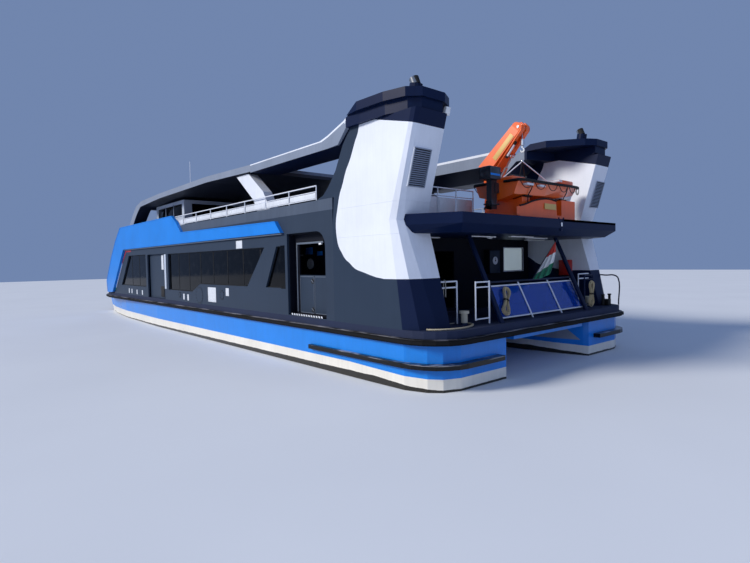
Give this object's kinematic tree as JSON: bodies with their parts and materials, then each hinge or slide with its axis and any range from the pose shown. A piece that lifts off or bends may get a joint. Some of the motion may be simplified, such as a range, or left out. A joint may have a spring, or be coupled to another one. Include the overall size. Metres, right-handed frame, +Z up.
{
  "type": "passenger ferry",
  "caption": "Twin-hulled passenger ferry with a glazed saloon, raked front, roofed upper deck, funnel towers and a stern platform with a rescue boat and crane.",
  "frame": {"origin": "in the waterline plane, at mid-length on the centreline", "axes": "+X to the bow, +Y to port, +Z up"},
  "size_m": [34.9, 10.64, 9.45],
  "materials": {
    "hull": "gloss blue topside, white boot stripe and dark grey bottom",
    "propeller": "cast bronze",
    "rudder": "matt bottom paint",
    "deck": "matt deck paint",
    "fender": "worn black rubber",
    "side_wall": "satin slate grey",
    "gate": "satin slate grey",
    "dark_house": "satin navy",
    "glazing": "dark tinted bonded panes",
    "screen_glass": "blue tinted screen",
    "tower": "satin white with dark grey and navy areas",
    "bulwark": "satin light grey",
    "fascia": "gloss blue",
    "roof": "satin light grey",
    "rail": "white painted tube",
    "rescue_boat": "moulded orange glass-fibre",
    "outboard": "dark cowl",
    "crane": "gloss orange",
    "cylinder": "bright steel",
    "rope": "laid rope",
    "mooring_line": "braided cream rope",
    "flag": "woven bunting in three stripes"
  },
  "bodies": {
    "ship": {"hull_port": "hull", "hull_starboard": "hull", "bridge_deck": "hull", "main_deck": "deck", "deck_fender": "fender", "side_wall_port": "side_wall", "side_wall_starboard": "side_wall", "glazing_aft_port": "glazing", "glazing_aft_starboard": "glazing", "glazing_forward_port": "glazing", "glazing_forward_starboard": "glazing", "door_frame_port": "dark_house", "door_frame_starboard": "dark_house", "front_wall": "side_wall", "front_glass": "glazing", "aft_bulkhead": "dark_house", "tower_port": "tower", "tower_starboard": "tower", "upper_deck": "deck", "aft_platform": "dark_house", "bulwark_port": "bulwark", "bulwark_starboard": "bulwark", "fascia": "fascia", "roof": "roof", "roof_beam_port": "dark_house", "roof_beam_starboard": "dark_house", "wheelhouse": "roof", "side_rail_port": "rail", "side_rail_starboard": "rail", "stern_rail": "rail", "stern_glass": "screen_glass", "rescue_boat": "rescue_boat", "outboard": "outboard", "boat_cradle": "crane", "bow_rail": "rail", "mast": "rail", "hank_port": "rope", "rail_rope": "rope", "mooring_line": "mooring_line", "flag": "flag"},
    "propeller_port": {"propeller_port": "propeller"},
    "propeller_starboard": {"propeller_starboard": "propeller"},
    "rudder_port": {"rudder_port": "rudder"},
    "rudder_starboard": {"rudder_starboard": "rudder"},
    "boarding_door_port": {"boarding_door_port": "side_wall"},
    "boarding_door_starboard": {"boarding_door_starboard": "side_wall"},
    "gate_aft_port": {"gate_aft_port": "gate"},
    "gate_fore_port": {"gate_fore_port": "gate"},
    "gate_aft_starboard": {"gate_aft_starboard": "gate"},
    "gate_fore_starboard": {"gate_fore_starboard": "gate"},
    "stern_gate_port": {"stern_gate_port": "rail"},
    "stern_gate_starboard": {"stern_gate_starboard": "rail", "hank_starboard": "rope"},
    "crane_column": {"crane_column": "crane"},
    "crane_boom": {"crane_boom": "crane"},
    "luff_barrel": {"luff_barrel": "cylinder"},
    "luff_rod": {"luff_rod": "cylinder"},
    "crane_hook": {"crane_hook": "cylinder"}
  },
  "joints": [
    {"name": "propeller_port_spin", "type": "hinge", "parent": "ship", "child": "propeller_port", "pos_m": [-15.1, 3.5, -0.88], "axis": [1, 0, 0], "continuous": true},
    {"name": "propeller_starboard_spin", "type": "hinge", "parent": "ship", "child": "propeller_starboard", "pos_m": [-15.1, -3.5, -0.88], "axis": [1, 0, 0], "continuous": true},
    {"name": "rudder_port_turn", "type": "hinge", "parent": "ship", "child": "rudder_port", "pos_m": [-15.95, 3.5, -0.3], "axis": [0, 0, 1], "range_deg": [-35, 35]},
    {"name": "rudder_starboard_turn", "type": "hinge", "parent": "ship", "child": "rudder_starboard", "pos_m": [-15.95, -3.5, -0.3], "axis": [0, 0, 1], "range_deg": [-35, 35]},
    {"name": "boarding_door_port_slide", "type": "slide", "parent": "ship", "child": "boarding_door_port", "axis": [1, 0, 0], "range_m": [-0.47, 2.2]},
    {"name": "boarding_door_starboard_slide", "type": "slide", "parent": "ship", "child": "boarding_door_starboard", "axis": [1, 0, 0], "range_m": [-0.47, 2.2]},
    {"name": "gate_aft_port_swing", "type": "hinge", "parent": "ship", "child": "gate_aft_port", "pos_m": [-12.704, 4.7747, 2.2], "axis": [0, 0, 1], "range_deg": [-95, 0]},
    {"name": "gate_fore_port_swing", "type": "hinge", "parent": "ship", "child": "gate_fore_port", "pos_m": [-11.056, 4.7747, 2.2], "axis": [0, 0, 1], "range_deg": [0, 95]},
    {"name": "gate_aft_starboard_swing", "type": "hinge", "parent": "ship", "child": "gate_aft_starboard", "pos_m": [-12.704, -4.7747, 2.2], "axis": [0, 0, 1], "range_deg": [0, 95]},
    {"name": "gate_fore_starboard_swing", "type": "hinge", "parent": "ship", "child": "gate_fore_starboard", "pos_m": [-11.056, -4.7747, 2.2], "axis": [0, 0, 1], "range_deg": [-95, 0]},
    {"name": "stern_gate_port_swing", "type": "hinge", "parent": "ship", "child": "stern_gate_port", "pos_m": [-16.89, 2.6, 2], "axis": [0, 0, 1], "range_deg": [-90, 0]},
    {"name": "stern_gate_starboard_swing", "type": "hinge", "parent": "ship", "child": "stern_gate_starboard", "pos_m": [-16.89, -2.6, 2], "axis": [0, 0, 1], "range_deg": [0, 90]},
    {"name": "crane_slew", "type": "hinge", "parent": "ship", "child": "crane_column", "pos_m": [-14.8, -0.45, 4.8], "axis": [0, 0, 1], "range_deg": [-180, 180]},
    {"name": "crane_luff", "type": "hinge", "parent": "crane_column", "child": "crane_boom", "pos_m": [-14.8, -0.45, 6.15], "axis": [0, 1, 0], "range_deg": [-35, 20]},
    {"name": "luff_barrel_tilt", "type": "hinge", "parent": "crane_column", "child": "luff_barrel", "pos_m": [-15.05, -0.45, 5.72], "axis": [0, 1, 0], "range_deg": [-30, 18]},
    {"name": "luff_rod_slide", "type": "slide", "parent": "luff_barrel", "child": "luff_rod", "axis": [-0.5364, 0, 0.8439], "range_m": [-0.285, 0.165]},
    {"name": "crane_hook_hang", "type": "hinge", "parent": "crane_boom", "child": "crane_hook", "pos_m": [-15.95, -0.45, 7.35], "axis": [0, 1, 0], "range_deg": [-21, 36]}
  ],
  "couplings": [
    {"joint": "rudder_starboard_turn", "follows": "rudder_port_turn", "ratio": 1},
    {"joint": "luff_barrel_tilt", "follows": "crane_luff", "ratio": 0.8},
    {"joint": "luff_rod_slide", "follows": "crane_luff", "m_per_rad": 0.455},
    {"joint": "crane_hook_hang", "follows": "crane_luff", "ratio": -1}
  ]
}
